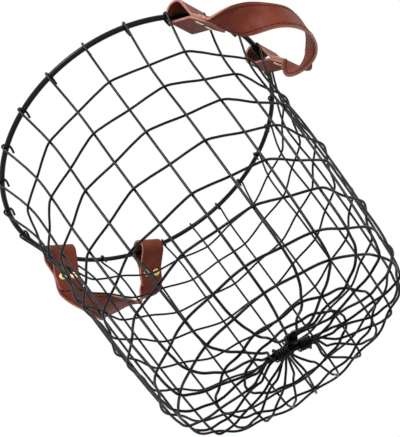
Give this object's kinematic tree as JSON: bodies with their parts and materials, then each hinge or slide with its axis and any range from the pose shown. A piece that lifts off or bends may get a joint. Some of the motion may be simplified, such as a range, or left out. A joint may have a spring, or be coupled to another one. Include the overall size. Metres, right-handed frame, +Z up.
{
  "type": "wire firewood basket",
  "caption": "Round tapered basket of black steel wire, long wires hooked over a stout rim and gathered in a bound knot under the base, woven hoops, and two riveted leather strap handles.",
  "frame": {"origin": "on the floor, at the middle of the part's outline as seen from above, which is the basket's own axis", "axes": "+Z up along the basket's axis, +X to the side whose strap turns its face in towards the wall, the other strap on the -X side"},
  "size_m": [0.4003, 0.307, 0.287],
  "materials": {
    "black_wire": "satin black coating on steel wire",
    "brown_leather": "smooth oiled grain, paler cut edges, stitched near both edges",
    "brass": "polished hollow rivets"
  },
  "bodies": {
    "basket": {"rim_ring": "black_wire", "long_wire_bar_1": "black_wire", "long_wire_bar_2": "black_wire", "long_wire_bar_3": "black_wire", "long_wire_bar_4": "black_wire", "long_wire_bar_5": "black_wire", "long_wire_bar_6": "black_wire", "long_wire_cross_1": "black_wire", "long_wire_cross_2": "black_wire", "long_wire_cross_3": "black_wire", "long_wire_cross_4": "black_wire", "long_wire_cross_5": "black_wire", "long_wire_cross_6": "black_wire", "hoop_1": "black_wire", "hoop_2": "black_wire", "hoop_3": "black_wire", "hoop_4": "black_wire", "hoop_5": "black_wire", "hoop_6": "black_wire", "hoop_7": "black_wire", "hoop_8": "black_wire", "base_ring_foot": "black_wire", "base_ring_inner": "black_wire", "base_binding": "black_wire"},
    "handle_right": {"strap_right": "brown_leather", "rivet_right_1": "brass", "rivet_right_2": "brass", "rivet_right_3": "brass", "rivet_right_4": "brass"},
    "handle_left": {"strap_left": "brown_leather", "rivet_left_1": "brass", "rivet_left_2": "brass", "rivet_left_3": "brass", "rivet_left_4": "brass"}
  },
  "joints": [
    {"name": "handle_right_swing", "type": "hinge", "parent": "basket", "child": "handle_right", "pos_m": [0.13697, 0.01803, 0.276], "axis": [0.1305, -0.9914, 0], "range_deg": [-8, 240]},
    {"name": "handle_left_swing", "type": "hinge", "parent": "basket", "child": "handle_left", "pos_m": [-0.13697, 0.01803, 0.276], "axis": [0.1305, 0.9914, 0], "range_deg": [-14, 216]}
  ]
}
